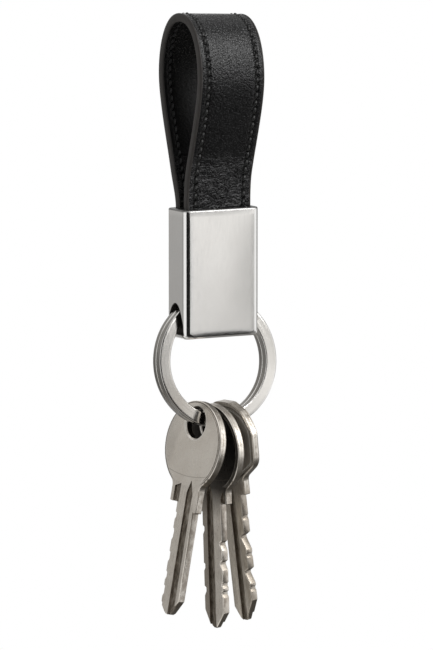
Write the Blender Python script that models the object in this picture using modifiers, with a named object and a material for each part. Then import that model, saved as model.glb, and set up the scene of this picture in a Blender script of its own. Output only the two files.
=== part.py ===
"""Leather keychain: a leather loop held in a metal block, a split ring through the block and three keys.

The part hangs as it does from a finger: +Z is up, X runs across the strap and -Y is the front.
The origin is the inside of the loop's crown, at the middle of the strap's width.
"""

import math

import bmesh
import bpy
from mathutils import Matrix, Vector
from mathutils.geometry import interpolate_bezier

MM = 0.001

# Clearances and cutting
SEAT_GAP = 0.3 * MM
CUT_OVERRUN = 2.0 * MM
WELD_DISTANCE = 0.001 * MM
FLAT_ANGLE = math.radians(0.2)

# Strap: an outer leather and a lining, folded over and held by both ends
STRAP_WIDTH = 17.8 * MM
LEATHER_THICKNESS = 1.0 * MM
LINING_THICKNESS = 0.9 * MM
LAYER_GAP = 0.2 * MM
LEG_GAP = 2.2 * MM
STRAP_EDGE_RADIUS = 0.2 * MM
LOOP_RISE = 48.7 * MM
BULGE_RISE = 33.1 * MM
BULGE_HALF_DEPTH = 11.3 * MM
LEG_EASE_SHARE = 0.25
LOWER_EASE_SHARE = 0.28
UPPER_EASE_SHARE = 0.5
CROWN_EASE_SHARE = 0.68
LOOP_LEAN = 0.87 * MM
LEAN_RISE = 9.2 * MM

# Block: the metal body that clamps the strap and carries the ring
BLOCK_WIDTH = 21.3 * MM
BLOCK_DEPTH = 9.7 * MM
BLOCK_HEIGHT = 32.3 * MM
BLOCK_CORNER_RADIUS = 1.6 * MM
BLOCK_RIM_RADIUS = 0.8 * MM
POCKET_DEPTH = 12.0 * MM

# Pins pressed in from the back, through both strap ends
PIN_RADIUS = 1.0 * MM
PIN_SPACING = 9.0 * MM
PIN_DROP = 6.0 * MM
PIN_SINK = 0.15 * MM
PIN_SEAT_DEPTH = 0.55 * MM
PIN_CHAMFER = 0.15 * MM

# Split ring: two turns of flat wire
RING_MEAN_RADIUS = 15.05 * MM
RING_WIRE_WIDTH = 3.1 * MM
RING_WIRE_THICKNESS = 1.7 * MM
RING_TURN_GAP = 0.43 * MM
RING_WIRE_ROUNDING = 0.4 * MM
RING_DROP = 6.25 * MM
RING_FORWARD = 0.98 * MM
RING_TILT = math.radians(-6.4)
RING_JOG_ANGLE = math.radians(34.0)

# Tunnel for the ring: an arched channel with bell mouths in the block's sides
TUNNEL_HALF_WIDTH = 4.0 * MM
TUNNEL_HEADROOM = 1.5 * MM
BRIDGE_CROWN = 0.5 * MM
MOUTH_HALF_WIDTH = 4.1 * MM
MOUTH_HEIGHT = 8.8 * MM
MOUTH_DEPTH = 0.9 * MM

# Keys: what all three share
KEY_THICKNESS = 2.0 * MM
KEY_EDGE_RADIUS = 0.2 * MM
KEY_HOLE_RADIUS = 3.9 * MM
KEY_HOLE_CHAMFER = 0.35 * MM
KEY_HOLE_RISE = 5.7 * MM
KEY_HANG = 1.15 * MM
KEY_PIVOT_DROP = 0.7 * MM
KEY_YAW = math.radians(8.9)
PAD_HEIGHT = 0.12 * MM
PAD_INSET = 0.8 * MM
PAD_END = 8.0 * MM
PAD_END_SAG = 0.5 * MM
NECK_BACK_EDGE = 5.6 * MM
NECK_FILLET = 2.0 * MM
NECK_FAR_END = 16.5 * MM
BLADE_BACK_EDGE = 4.55 * MM
TIP_HALF_WIDTH = 0.5 * MM
TIP_SHOULDER_HALF_WIDTH = 1.3 * MM
TIP_SHOULDER_RISE = 0.45 * MM
CUT_SLOPE_ABOVE = 1.6
CUT_SLOPE_BELOW = 0.6

# Round bow, and the squared bow by its corners as (distance out, distance down)
BOW_RADIUS = 11.25 * MM
SQUARE_BOW_LOWER = (10.3 * MM, 3.7 * MM)
SQUARE_BOW_UPPER = (10.6 * MM, -4.6 * MM)
SQUARE_BOW_SHOULDER = (7.9 * MM, -8.6 * MM)
SQUARE_BOW_TOP = (3.4 * MM, -10.7 * MM)
SQUARE_BOW_FOOT = 7.5 * MM
SQUARE_BOW_ROUNDING = 3.8 * MM

# Milled grooves, as distances from the key's middle line. An edge groove is given
# with its start, the length of its point and its slant.
GROOVE_DEPTH = 0.6 * MM
FRONT_FACE_GROOVE = (0.75 * MM, 3.2 * MM)
MIDDLE_FACE_GROOVE = (-0.1 * MM, 2.5 * MM)
REAR_FACE_GROOVE = (-0.55 * MM, 1.55 * MM)
FACE_GROOVE_START = 8.6 * MM
FACE_GROOVE_POINT = 3.2 * MM
BACK_GROOVE = (-1.2 * MM, 0.5 * MM)
BACK_GROOVE_START = 9.8 * MM
BACK_GROOVE_POINT = 3.4 * MM
FRONT_EDGE_GROOVE = ((-4.3 * MM, -1.9 * MM), 9.8 * MM, 0, 0.9 * MM)
MIDDLE_EDGE_GROOVE = ((-5.2 * MM, -3.4 * MM), 10.6 * MM, 1.5 * MM, 0)

# Cuts as (distance down from the bow's centre, depth, half of the floor's length)
FRONT_CUTS = (
    (17.8 * MM, 0.6 * MM, 0.3 * MM),
    (22.2 * MM, 1.1 * MM, 0.3 * MM),
    (28.0 * MM, 0.95 * MM, 0.3 * MM),
    (32.9 * MM, 0.7 * MM, 0.3 * MM),
    (36.6 * MM, 0.95 * MM, 0.3 * MM),
)
MIDDLE_CUTS = (
    (24.0 * MM, 0.8 * MM, 0.3 * MM),
    (29.0 * MM, 0.85 * MM, 0.3 * MM),
    (34.3 * MM, 0.4 * MM, 0.3 * MM),
    (36.5 * MM, 0.5 * MM, 0.3 * MM),
)
MIDDLE_BACK_CUTS = (
    (20.8 * MM, 0.6 * MM, 0.4 * MM),
    (30.3 * MM, 0.5 * MM, 0.4 * MM),
    (36.3 * MM, 0.7 * MM, 0.4 * MM),
)
REAR_CUTS = (
    (17.9 * MM, 0.3 * MM, 0.3 * MM),
    (23.2 * MM, 1.7 * MM, 0.3 * MM),
    (27.7 * MM, 0.25 * MM, 0.3 * MM),
    (32.3 * MM, 1.5 * MM, 0.3 * MM),
    (36.3 * MM, 0.35 * MM, 0.3 * MM),
)

# Distances from each bow's centre down to the stop and the tip, and the tip's two slopes
FRONT_STOP = 14.6 * MM
FRONT_TIP = 42.7 * MM
FRONT_TIP_RUNS = (2.9 * MM, 3.8 * MM)
MIDDLE_STOP = 13.7 * MM
MIDDLE_TIP = 45.8 * MM
MIDDLE_TIP_RUNS = (4.2 * MM, 4.4 * MM)
REAR_STOP = 12.0 * MM
REAR_TIP = 45.0 * MM
REAR_TIP_RUNS = (5.6 * MM, 3.2 * MM)

# One row for each key: place on the ring, lean, side of the cuts, neck, stop, tip, bow,
# groove in the face that shows, and cuts
KEYS = (
    {
        "name": "key_front",
        "ring_angle": math.radians(-19.6),
        "lean": math.radians(10.4),
        "cut_side": -1,
        "neck": 5.6 * MM,
        "cut_edge": 3.1 * MM,
        "stop": FRONT_STOP,
        "tip": FRONT_TIP,
        "tip_runs": FRONT_TIP_RUNS,
        "tip_offset": 0.6 * MM,
        "bow": "round",
        "face_groove": FRONT_FACE_GROOVE,
        "edge_groove": FRONT_EDGE_GROOVE,
        "cuts": FRONT_CUTS,
        "back_cuts": (),
    },
    {
        "name": "key_middle",
        "ring_angle": math.radians(-4.9),
        "lean": math.radians(-1.9),
        "cut_side": 1,
        "neck": 5.6 * MM,
        "cut_edge": 3.2 * MM,
        "stop": MIDDLE_STOP,
        "tip": MIDDLE_TIP,
        "tip_runs": MIDDLE_TIP_RUNS,
        "tip_offset": 1.0 * MM,
        "bow": "round",
        "face_groove": MIDDLE_FACE_GROOVE,
        "edge_groove": MIDDLE_EDGE_GROOVE,
        "cuts": MIDDLE_CUTS,
        "back_cuts": MIDDLE_BACK_CUTS,
    },
    {
        "name": "key_rear",
        "ring_angle": math.radians(10.0),
        "lean": math.radians(-7.0),
        "cut_side": 1,
        "neck": 4.9 * MM,
        "cut_edge": 3.1 * MM,
        "stop": REAR_STOP,
        "tip": REAR_TIP,
        "tip_runs": REAR_TIP_RUNS,
        "tip_offset": 1.0 * MM,
        "bow": "square",
        "face_groove": REAR_FACE_GROOVE,
        "edge_groove": (),
        "cuts": REAR_CUTS,
        "back_cuts": (),
    },
)

# Facets
LOOP_STEPS = 14
CORNER_STEPS = 6
EDGE_STEPS = 2
RING_STEPS = 52
WIRE_CORNER_STEPS = 2
TUNNEL_STEPS = 72
ARCH_STEPS = 12
CROWN_STEPS = 4
BOW_STEPS = 40
HOLE_STEPS = 32
PIN_STEPS = 20
FILLET_STEPS = 4

# Places that follow from the sizes
STRAP_THICKNESS = LEATHER_THICKNESS + LAYER_GAP + LINING_THICKNESS
LEG_OUTER = LEG_GAP / 2 + STRAP_THICKNESS
BLOCK_TOP = STRAP_THICKNESS - LOOP_RISE
BLOCK_BOTTOM = BLOCK_TOP - BLOCK_HEIGHT
POCKET_FLOOR = BLOCK_TOP - POCKET_DEPTH
LEG_END = POCKET_FLOOR + SEAT_GAP
PIN_HEIGHT = BLOCK_TOP - PIN_DROP
RING_AXIS_HEIGHT = BLOCK_BOTTOM - RING_DROP
RING_CENTRE = Vector((0, -RING_FORWARD, RING_AXIS_HEIGHT))
RING_POSE = Matrix.Translation(RING_CENTRE) @ Matrix.Rotation(RING_TILT, 4, "X")
RING_INNER = RING_MEAN_RADIUS - RING_WIRE_WIDTH / 2
RING_OUTER = RING_MEAN_RADIUS + RING_WIRE_WIDTH / 2
TUNNEL_TOP = RING_OUTER + TUNNEL_HEADROOM
BRIDGE_TOP = RING_INNER - SEAT_GAP
TUNNEL_FOOT = BRIDGE_TOP - BRIDGE_CROWN

# A flat outline drawn in X and Y stands up in the plane that faces this way
SIDEWAYS = Matrix(((0, 0, 1, 0), (1, 0, 0, 0), (0, 1, 0, 0), (0, 0, 0, 1)))
FACING_FRONT = Matrix(((1, 0, 0, 0), (0, 0, -1, 0), (0, 1, 0, 0), (0, 0, 0, 1)))


def clear_scene():
    for item in list(bpy.data.objects):
        bpy.data.objects.remove(item, do_unlink=True)


def new_collection(name):
    collection = bpy.data.collections.new(name)
    bpy.context.scene.collection.children.link(collection)
    return collection


clear_scene()
PARTS = new_collection("leather_keychain")
CUTTERS = new_collection("cutters")


def material(name, colour, roughness, metallic):
    made = bpy.data.materials.new(name)
    made.use_nodes = True
    shader = made.node_tree.nodes["Principled BSDF"]
    shader.inputs["Base Color"].default_value = (*colour, 1)
    shader.inputs["Roughness"].default_value = roughness
    shader.inputs["Metallic"].default_value = metallic
    made.diffuse_color = (*colour, 1)
    return made


def finish(item, made_of, smooth_angle=math.radians(30)):
    item.data.materials.append(made_of)
    item.data.shade_smooth()
    item.data.set_sharp_from_angle(angle=smooth_angle)
    return item


def as_cutter(item):
    item.hide_render = True
    item.display_type = "WIRE"
    return item


def add_mesh(name, mesh, matrix=Matrix(), collection=PARTS):
    item = bpy.data.objects.new(name, mesh)
    item.matrix_world = matrix
    collection.objects.link(item)
    return item


def welded_mesh(name, curve_item, flat_angle=0):
    """The curve's evaluated shape as a closed mesh. The curve itself is removed."""
    graph = bpy.context.evaluated_depsgraph_get()
    mesh = bpy.data.meshes.new_from_object(curve_item.evaluated_get(graph))
    mesh.name = name
    bpy.data.objects.remove(curve_item, do_unlink=True)
    shape = bmesh.new()
    shape.from_mesh(mesh)
    bmesh.ops.remove_doubles(shape, verts=shape.verts, dist=WELD_DISTANCE)
    if flat_angle:
        bmesh.ops.dissolve_limit(
            shape,
            angle_limit=flat_angle,
            verts=shape.verts,
            edges=shape.edges,
        )
    bmesh.ops.recalc_face_normals(shape, faces=shape.faces)
    shape.to_mesh(mesh)
    shape.free()
    return mesh


def flat_solid(name, outline, thickness, matrix=Matrix(), collection=PARTS):
    """A closed outline in X and Y given a thickness along Z, half on each side."""
    curve = bpy.data.curves.new(name, "CURVE")
    curve.dimensions = "2D"
    curve.fill_mode = "BOTH"
    curve.extrude = thickness / 2
    spline = curve.splines.new("POLY")
    spline.points.add(len(outline) - 1)
    for point, (x, y) in zip(spline.points, outline):
        point.co = (x, y, 0, 1)
    spline.use_cyclic_u = True
    item = add_mesh(name, curve, matrix, collection)
    bpy.context.view_layer.update()
    mesh = welded_mesh(name, item, FLAT_ANGLE)
    return add_mesh(name, mesh, matrix, collection)


def turned(name, profile, steps, matrix=Matrix(), closed=False, collection=PARTS):
    """A profile of (radius, height) points, top to bottom, turned about Z."""
    mesh = bpy.data.meshes.new(name)
    points = [(radius, 0, height) for radius, height in profile]
    edges = [(i, i + 1) for i in range(len(points) - 1)]
    if closed:
        edges.append((len(points) - 1, 0))
    mesh.from_pydata(points, edges, [])
    item = add_mesh(name, mesh, matrix, collection)
    screw = item.modifiers.new("turn", "SCREW")
    screw.axis = "Z"
    screw.steps = steps
    screw.render_steps = steps
    screw.use_merge_vertices = True
    screw.merge_threshold = WELD_DISTANCE
    return item


def box(name, size, matrix=Matrix(), collection=PARTS):
    shape = bmesh.new()
    bmesh.ops.create_cube(shape, size=1, matrix=Matrix.Diagonal((*size, 1)))
    mesh = bpy.data.meshes.new(name)
    shape.to_mesh(mesh)
    shape.free()
    return add_mesh(name, mesh, matrix, collection)


def rod(name, radius, length, matrix=Matrix(), collection=PARTS):
    shape = bmesh.new()
    bmesh.ops.create_cone(
        shape,
        cap_ends=True,
        segments=PIN_STEPS,
        radius1=radius,
        radius2=radius,
        depth=length,
    )
    mesh = bpy.data.meshes.new(name)
    shape.to_mesh(mesh)
    shape.free()
    return add_mesh(name, mesh, matrix, collection)


def combine(item, other, operation="DIFFERENCE"):
    boolean = item.modifiers.new(other.name, "BOOLEAN")
    boolean.operation = operation
    boolean.solver = "EXACT"
    boolean.object = as_cutter(other)


def round_rims(item, radius, steps=EDGE_STEPS, from_angle=math.radians(70)):
    bevel = item.modifiers.new("rims", "BEVEL")
    bevel.width = radius
    bevel.segments = steps
    bevel.limit_method = "ANGLE"
    bevel.angle_limit = from_angle


def arc(centre, radius, start, end, steps):
    """Points on a circle from one angle to another, both ends included."""
    angles = [start + (end - start) * i / steps for i in range(steps + 1)]
    return [
        (centre[0] + radius * math.cos(a), centre[1] + radius * math.sin(a))
        for a in angles
    ]


def rounded(corners, steps):
    """An outline from (x, y, radius) corners, each turned into an arc of its radius."""
    outline = []
    for i, (x, y, radius) in enumerate(corners):
        here = Vector((x, y))
        back = (Vector(corners[i - 1][:2]) - here).normalized()
        ahead = (Vector(corners[(i + 1) % len(corners)][:2]) - here).normalized()
        if not radius:
            outline.append((x, y))
            continue
        half = back.angle(ahead) / 2
        centre = here + (back + ahead).normalized() * radius / math.sin(half)
        start = here + back * radius / math.tan(half) - centre
        end = here + ahead * radius / math.tan(half) - centre
        turn = start.angle_signed(end)
        for step in range(steps + 1):
            spoke = Vector(start)
            spoke.rotate(Matrix.Rotation(-turn * step / steps, 2))
            outline.append(tuple(centre + spoke))
    return outline


def lean_at(z):
    """How far the loop leans back at a height, eased in above the block."""
    share = min(max((z - BLOCK_TOP) / LEAN_RISE, 0), 1)
    return LOOP_LEAN * share * share * (3 - 2 * share)


def loop_outer_line():
    """The loop's outer face from the side, as (y, z): front leg, crown, back leg."""
    foot = Vector((LEG_OUTER, BLOCK_TOP, 0))
    bulge = Vector((BULGE_HALF_DEPTH, BLOCK_TOP + BULGE_RISE, 0))
    crown = Vector((0, STRAP_THICKNESS, 0))
    up = Vector((0, 1, 0))
    out = Vector((1, 0, 0))
    upper_rise = LOOP_RISE - BULGE_RISE
    lower = interpolate_bezier(
        foot,
        foot + up * BULGE_RISE * LEG_EASE_SHARE,
        bulge - up * BULGE_RISE * LOWER_EASE_SHARE,
        bulge,
        LOOP_STEPS,
    )
    upper = interpolate_bezier(
        bulge,
        bulge + up * upper_rise * UPPER_EASE_SHARE,
        crown + out * BULGE_HALF_DEPTH * CROWN_EASE_SHARE,
        crown,
        LOOP_STEPS,
    )
    back = [(LEG_OUTER, LEG_END)] + [tuple(p[:2]) for p in lower + upper[1:]]
    front = [(-y, z) for y, z in back[:-1]]
    return [(y + lean_at(z), z) for y, z in front + back[::-1]]


def inward(line, distance):
    """The open line moved by a distance towards the loop's inside."""
    moved = []
    for i, point in enumerate(line):
        before = Vector(line[max(i - 1, 0)])
        after = Vector(line[min(i + 1, len(line) - 1)])
        along = (after - before).normalized()
        if i <= 1 or i >= len(line) - 2:
            along = Vector((0, math.copysign(1, along[1])))
        moved.append(
            (point[0] + along[1] * distance, point[1] - along[0] * distance)
        )
    return moved


def pin_places():
    for side in (-1, 1):
        yield side, Vector((side * PIN_SPACING / 2, 0, PIN_HEIGHT))


def pin_hole_cutters(owner, near, far):
    """Round cutters along Y at both pins, from one depth to another."""
    cutters = []
    for side, place in pin_places():
        name = f"{owner}_pin_hole_{'right' if side > 0 else 'left'}"
        place.y = (near + far) / 2
        matrix = Matrix.Translation(place) @ FACING_FRONT
        radius = PIN_RADIUS + SEAT_GAP
        cutters.append(rod(name, radius, abs(near - far), matrix, CUTTERS))
    return cutters


def strap_layer(name, depth, thickness, made_of):
    """One leather layer of the loop, lying this deep under the outer face."""
    line = loop_outer_line()
    outline = inward(line, depth) + inward(line, depth + thickness)[::-1]
    layer = flat_solid(name, outline, STRAP_WIDTH, SIDEWAYS)
    round_rims(layer, STRAP_EDGE_RADIUS)
    for cutter in pin_hole_cutters(name, -BLOCK_DEPTH / 2, BLOCK_DEPTH / 2):
        combine(layer, cutter)
    return finish(layer, made_of)


def strap_filler(made_of):
    """The strip between the two strap ends inside the pocket."""
    height = POCKET_DEPTH - 2 * SEAT_GAP
    size = (STRAP_WIDTH, LEG_GAP - 2 * SEAT_GAP, height)
    middle = Vector((0, 0, LEG_END + height / 2))
    filler = box("strap_filler", size, Matrix.Translation(middle))
    for cutter in pin_hole_cutters("filler", -BLOCK_DEPTH / 2, BLOCK_DEPTH / 2):
        combine(filler, cutter)
    return finish(filler, made_of)


def tunnel_cutter():
    """The arched channel that the ring runs in, turned about the ring's axis."""
    rise = TUNNEL_TOP - TUNNEL_FOOT
    profile = []
    for radial, across in arc((0, 0), 1, -math.pi / 2, math.pi / 2, ARCH_STEPS):
        profile.append((TUNNEL_FOOT + rise * radial, -TUNNEL_HALF_WIDTH * across))
    for step in range(1, CROWN_STEPS):
        share = 1 - 2 * step / CROWN_STEPS
        crown = TUNNEL_FOOT + BRIDGE_CROWN * (1 - share * share)
        profile.append((crown, -TUNNEL_HALF_WIDTH * share))
    matrix = Matrix.Translation((0, 0, RING_AXIS_HEIGHT)) @ FACING_FRONT
    return turned("tunnel_cutter", profile, TUNNEL_STEPS, matrix, True, CUTTERS)


def mouth_cutter(side):
    """The bell mouth that opens the tunnel's end through a side face."""
    half = arc((0, 0), 1, 0, math.pi, 2 * ARCH_STEPS)
    outline = [(x * MOUTH_HALF_WIDTH, y * MOUTH_HEIGHT) for x, y in half]
    outline.append((-MOUTH_HALF_WIDTH, -CUT_OVERRUN))
    outline.append((MOUTH_HALF_WIDTH, -CUT_OVERRUN))
    name = f"mouth_{'right' if side > 0 else 'left'}_cutter"
    reach = side * (BLOCK_WIDTH / 2 - MOUTH_DEPTH + (MOUTH_DEPTH + CUT_OVERRUN) / 2)
    matrix = Matrix.Translation((reach, 0, BLOCK_BOTTOM)) @ SIDEWAYS
    return flat_solid(name, outline, MOUTH_DEPTH + CUT_OVERRUN, matrix, CUTTERS)


def pocket_cutter():
    """The slot in the block's top that takes both strap ends."""
    size = (
        STRAP_WIDTH + 2 * SEAT_GAP,
        2 * (LEG_OUTER + SEAT_GAP),
        POCKET_DEPTH + CUT_OVERRUN,
    )
    middle = Vector((0, 0, POCKET_FLOOR + size[2] / 2))
    return box("pocket_cutter", size, Matrix.Translation(middle), CUTTERS)


def metal_block(made_of):
    half_width = BLOCK_WIDTH / 2
    half_depth = BLOCK_DEPTH / 2
    corners = [
        (half_width, half_depth, BLOCK_CORNER_RADIUS),
        (-half_width, half_depth, BLOCK_CORNER_RADIUS),
        (-half_width, -half_depth, BLOCK_CORNER_RADIUS),
        (half_width, -half_depth, BLOCK_CORNER_RADIUS),
    ]
    middle = Matrix.Translation((0, 0, (BLOCK_TOP + BLOCK_BOTTOM) / 2))
    outline = rounded(corners, CORNER_STEPS)
    block = flat_solid("metal_block", outline, BLOCK_HEIGHT, middle)
    round_rims(block, BLOCK_RIM_RADIUS, EDGE_STEPS + 1)
    combine(block, pocket_cutter())
    combine(block, tunnel_cutter())
    for side in (-1, 1):
        combine(block, mouth_cutter(side))
    blind_end = -(LEG_OUTER + 2 * SEAT_GAP + PIN_SEAT_DEPTH)
    outside = BLOCK_DEPTH / 2 + CUT_OVERRUN
    for cutter in pin_hole_cutters("block", blind_end, outside):
        combine(block, cutter)
    return finish(block, made_of)


def strap_pins(made_of):
    """Two pins from just under the back face to their seats in the front wall."""
    back_end = BLOCK_DEPTH / 2 - PIN_SINK
    front_end = -(LEG_OUTER + SEAT_GAP + PIN_SEAT_DEPTH)
    for side, place in pin_places():
        place.y = (back_end + front_end) / 2
        matrix = Matrix.Translation(place) @ FACING_FRONT
        name = f"strap_pin_{'right' if side > 0 else 'left'}"
        pin = rod(name, PIN_RADIUS, back_end - front_end, matrix)
        round_rims(pin, PIN_CHAMFER, 1)
        finish(pin, made_of)


def wire_section():
    """The flat wire's section: a rounded rectangle, wide along the ring's radius."""
    across = RING_WIRE_WIDTH / 2
    along = RING_WIRE_THICKNESS / 2
    corners = [
        (across, along, RING_WIRE_ROUNDING),
        (-across, along, RING_WIRE_ROUNDING),
        (-across, -along, RING_WIRE_ROUNDING),
        (across, -along, RING_WIRE_ROUNDING),
    ]
    return rounded(corners, WIRE_CORNER_STEPS)


def ring_wire_path():
    """The wire's middle line: one turn, a jog at the ring's top, and a second turn."""
    pitch = RING_WIRE_THICKNESS + RING_TURN_GAP
    first_angle = (math.pi + RING_JOG_ANGLE) / 2
    whole = 4 * math.pi - RING_JOG_ANGLE
    count = round(RING_STEPS * whole / (2 * math.pi))
    jog_start = 2 * math.pi - RING_JOG_ANGLE
    points = []
    for i in range(count + 1):
        run = whole * i / count
        share = min(max((run - jog_start) / RING_JOG_ANGLE, 0), 1)
        eased = share * share * (3 - 2 * share)
        angle = first_angle + run
        points.append(
            Vector(
                (
                    RING_MEAN_RADIUS * math.cos(angle),
                    RING_MEAN_RADIUS * math.sin(angle),
                    pitch * (eased - 0.5),
                )
            )
        )
    return points


def least_turn_gap(points):
    """The least clear distance between the two turns, measured on the wire's points."""
    apart = len(points) // 4
    least = min(
        (a - b).length
        for i, a in enumerate(points)
        for b in points[i + apart :]
    )
    return least - RING_WIRE_THICKNESS


def split_ring(made_of):
    section = bpy.data.curves.new("ring_section", "CURVE")
    section.dimensions = "2D"
    spline = section.splines.new("POLY")
    outline = wire_section()
    spline.points.add(len(outline) - 1)
    for point, (x, y) in zip(spline.points, outline):
        point.co = (x, y, 0, 1)
    spline.use_cyclic_u = True
    section_item = as_cutter(add_mesh("ring_section", section, Matrix(), CUTTERS))
    path = ring_wire_path()
    print(f"split ring: least gap between turns {least_turn_gap(path) / MM:.2f} mm")
    curve = bpy.data.curves.new("split_ring", "CURVE")
    curve.dimensions = "3D"
    curve.twist_mode = "Z_UP"
    curve.bevel_mode = "OBJECT"
    curve.bevel_object = section_item
    curve.use_fill_caps = True
    spline = curve.splines.new("POLY")
    spline.points.add(len(path) - 1)
    for point, place in zip(spline.points, path):
        point.co = (*place, 1)
    matrix = RING_POSE @ FACING_FRONT
    item = add_mesh("split_ring", curve, matrix)
    bpy.context.view_layer.update()
    ring = add_mesh("split_ring", welded_mesh("split_ring", item), matrix)
    return finish(ring, made_of)


def cut_edge(start, cuts, edge, end):
    """A blade's edge as (distance out, distance down), from where it starts to the tip."""
    points = [(edge, start)]
    for middle, depth, half in cuts:
        points.append((edge, middle - half - depth / CUT_SLOPE_ABOVE))
        points.append((edge - depth, middle - half))
        points.append((edge - depth, middle + half))
        points.append((edge, middle + half + depth / CUT_SLOPE_BELOW))
    points.append((edge, end))
    return points


def bow_corners(neck, grow):
    """The squared bow's corners on one side, from the neck up to the top."""
    corners = (
        SQUARE_BOW_LOWER,
        SQUARE_BOW_UPPER,
        SQUARE_BOW_SHOULDER,
        SQUARE_BOW_TOP,
    )
    half = [(neck, SQUARE_BOW_FOOT + grow, NECK_FILLET)]
    for x, y in corners:
        half.append((x + grow, y + math.copysign(grow, y), SQUARE_BOW_ROUNDING))
    return half


def bow_and_neck(key, grow=0):
    """The bow's edge from the neck on the cut side round to the neck on the back side."""
    near = key["neck"] + grow
    far = NECK_BACK_EDGE + grow
    if key["bow"] == "square":
        left = [(-x, y, r) for x, y, r in bow_corners(near, grow)]
        right = bow_corners(far, grow)[::-1]
        ends = (-near, key["stop"], 0), (far, key["stop"], 0)
        return rounded([ends[0], *left, *right, ends[1]], FILLET_STEPS)[1:-1]
    radius = BOW_RADIUS + grow
    reach = far + NECK_FILLET
    drop = math.sqrt((radius + NECK_FILLET) ** 2 - reach**2)
    lean = math.atan2(drop, reach)
    left = arc((-reach, drop), NECK_FILLET, 0, -lean, FILLET_STEPS)
    around = arc((0, 0), radius, math.pi - lean, 2 * math.pi + lean, BOW_STEPS)
    right = arc((reach, drop), NECK_FILLET, lean - math.pi, -math.pi, FILLET_STEPS)
    return left[:-1] + around + right[1:]


def key_outline(key):
    """The blank with its cuts, x from the middle line and y down from the bow's centre."""
    tip = key["tip"]
    cut_run, back_run = key["tip_runs"]
    middle = key["tip_offset"]
    cuts = cut_edge(key["stop"], key["cuts"], key["cut_edge"], tip - cut_run)
    back = cut_edge(NECK_FAR_END, key["back_cuts"], BLADE_BACK_EDGE, tip - back_run)
    outline = bow_and_neck(key)
    outline += [(NECK_BACK_EDGE, NECK_FAR_END)] + back
    outline += [(middle + TIP_SHOULDER_HALF_WIDTH, tip - TIP_SHOULDER_RISE)]
    outline += [(middle + TIP_HALF_WIDTH, tip), (middle - TIP_HALF_WIDTH, tip)]
    outline += [(middle - TIP_SHOULDER_HALF_WIDTH, tip - TIP_SHOULDER_RISE)]
    outline += [(-x, y) for x, y in cuts[::-1]]
    outline += [(-key["neck"], key["stop"])]
    return [(-key["cut_side"] * x, -y) for x, y in outline]


def pad_outline(key):
    """The raised face of the bow, closed by a shallow curve across the neck."""
    edge = [p for p in bow_and_neck(key, -PAD_INSET) if p[1] < PAD_END]
    start, end = edge[-1], edge[0]
    closing = []
    for step in range(1, FILLET_STEPS):
        share = step / FILLET_STEPS
        sag = PAD_END_SAG * 4 * share * (1 - share)
        closing.append((start[0] + (end[0] - start[0]) * share, PAD_END + sag))
    return [(-key["cut_side"] * x, -y) for x, y in edge + closing]


def groove_cutter(label, key, groove, face, matrix):
    """A long milled groove in one face (1 or -1), pointed or slanted where it starts."""
    (near, far), start, point, slant = groove
    end = key["tip"] + CUT_OVERRUN
    if slant:
        outline = [(near, end), (near, start + slant), (far, start), (far, end)]
    else:
        outline = [(near, end), (near, start + point), ((near + far) / 2, start)]
        outline += [(far, start + point), (far, end)]
    outline = [(-key["cut_side"] * x, -y) for x, y in outline]
    depth = GROOVE_DEPTH + CUT_OVERRUN
    offset = KEY_THICKNESS / 2 - GROOVE_DEPTH + depth / 2
    place = matrix @ Matrix.Translation((0, 0, face * offset))
    name = f"{key['name']}_{label}_groove"
    return flat_solid(name, outline, depth, place, CUTTERS)


def key_grooves(key):
    """Each groove's label, face, span, start, point and slant."""
    face = (key["face_groove"], FACE_GROOVE_START, FACE_GROOVE_POINT, 0)
    back = (BACK_GROOVE, BACK_GROOVE_START, BACK_GROOVE_POINT, 0)
    yield "face", 1, face
    yield "back", -1, back
    if key["edge_groove"]:
        yield "edge", 1, key["edge_groove"]


def hole_cutter(name, matrix):
    """The ring hole with a chamfer at both faces."""
    half = KEY_THICKNESS / 2 + PAD_HEIGHT
    beyond = half + KEY_HOLE_CHAMFER
    wide = KEY_HOLE_RADIUS + 2 * KEY_HOLE_CHAMFER
    profile = [
        (0, beyond),
        (wide, beyond),
        (KEY_HOLE_RADIUS, half - KEY_HOLE_CHAMFER),
        (KEY_HOLE_RADIUS, KEY_HOLE_CHAMFER - half),
        (wide, -beyond),
        (0, -beyond),
    ]
    place = matrix @ Matrix.Translation((0, KEY_HOLE_RISE, 0))
    return turned(name, profile, HOLE_STEPS, place, collection=CUTTERS)


def ring_point(angle, radius):
    """A place in the ring's plane, by its angle from the bottom and its radius."""
    return RING_POSE @ Vector((radius * math.sin(angle), 0, -radius * math.cos(angle)))


def key_on_ring(key, made_of):
    """One key hung on the ring. It swings about the Y axis of an empty at the wire."""
    name = key["name"]
    hole = ring_point(key["ring_angle"], RING_MEAN_RADIUS + KEY_HANG)
    facing = Matrix.Rotation(key["lean"], 4, "Y") @ Matrix.Rotation(
        KEY_YAW - math.pi / 2, 4, "Z"
    )
    to_bow = Matrix.Translation((0, -KEY_HOLE_RISE, 0))
    matrix = Matrix.Translation(hole) @ facing @ FACING_FRONT @ to_bow
    blank = flat_solid(name, key_outline(key), KEY_THICKNESS, matrix)
    round_rims(blank, KEY_EDGE_RADIUS, 1, math.radians(80))
    pad_thickness = KEY_THICKNESS + 2 * PAD_HEIGHT
    pad = flat_solid(f"{name}_pad", pad_outline(key), pad_thickness, matrix, CUTTERS)
    combine(blank, pad, "UNION")
    for label, face, groove in key_grooves(key):
        combine(blank, groove_cutter(label, key, groove, face, matrix))
    combine(blank, hole_cutter(f"{name}_hole", matrix))
    pivot = bpy.data.objects.new(f"{name}_pivot", None)
    place = ring_point(key["ring_angle"], RING_MEAN_RADIUS + KEY_PIVOT_DROP)
    pivot.matrix_world = Matrix.Translation(place) @ facing
    PARTS.objects.link(pivot)
    bpy.context.view_layer.update()
    blank.parent = pivot
    blank.matrix_parent_inverse = pivot.matrix_world.inverted()
    return finish(blank, made_of)


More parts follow.
